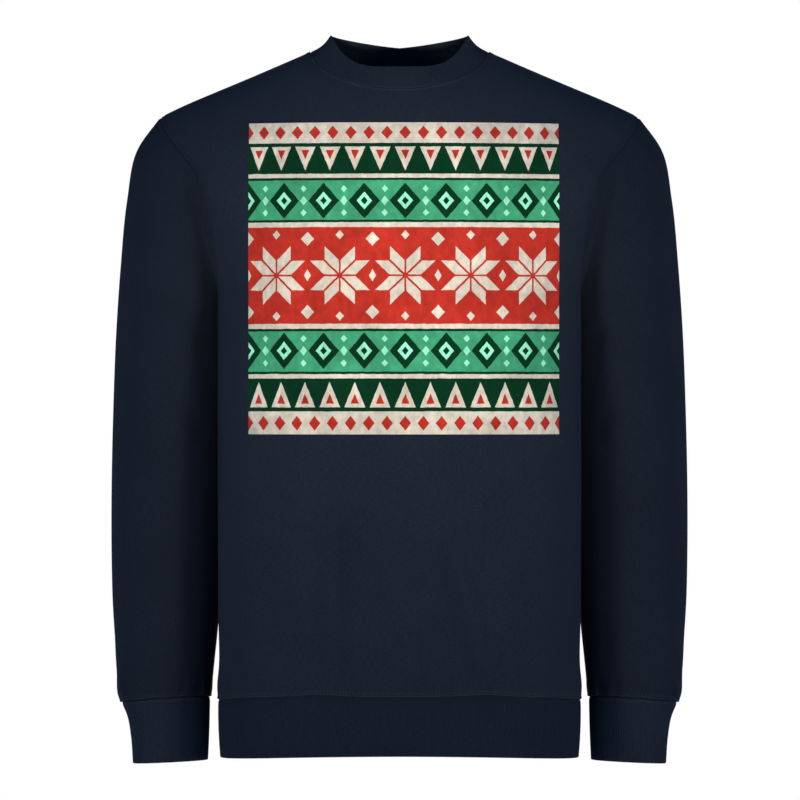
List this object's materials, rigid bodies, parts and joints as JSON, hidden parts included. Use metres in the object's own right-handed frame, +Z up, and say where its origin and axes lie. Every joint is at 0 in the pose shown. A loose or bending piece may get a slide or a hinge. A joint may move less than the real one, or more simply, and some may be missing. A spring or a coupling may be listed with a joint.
{
  "type": "crew-neck sweatshirt",
  "caption": "Long-sleeved pullover in dark navy fleece, filled out as worn, with set-in sleeves, a ribbed neckband, cuffs and hem, and a square banded print on the chest.",
  "frame": {"origin": "middle of the neck opening, level with the points where the shoulder seams reach the neckband", "axes": "+Z up, from hem to neck; the front of the garment faces -Y; +X toward the wearer's left"},
  "size_m": [0.5896, 0.2592, 0.7436],
  "materials": {
    "front": "knitted cotton fleece, matt, with a printed square of banded pattern on the chest",
    "back": "knitted cotton fleece, matt",
    "sleeve_left": "knitted cotton fleece, matt",
    "sleeve_right": "knitted cotton fleece, matt",
    "neckband": "fine rib knit, folded double, matt",
    "cuff_left": "fine rib knit, folded double, matt",
    "cuff_right": "fine rib knit, folded double, matt",
    "hem_band": "fine rib knit, folded double, matt"
  },
  "bodies": {
    "root": {"front": "front", "back": "back", "sleeve_left": "sleeve_left", "sleeve_right": "sleeve_right", "neckband": "neckband", "cuff_left": "cuff_left", "cuff_right": "cuff_right", "hem_band": "hem_band"}
  },
  "joints": []
}
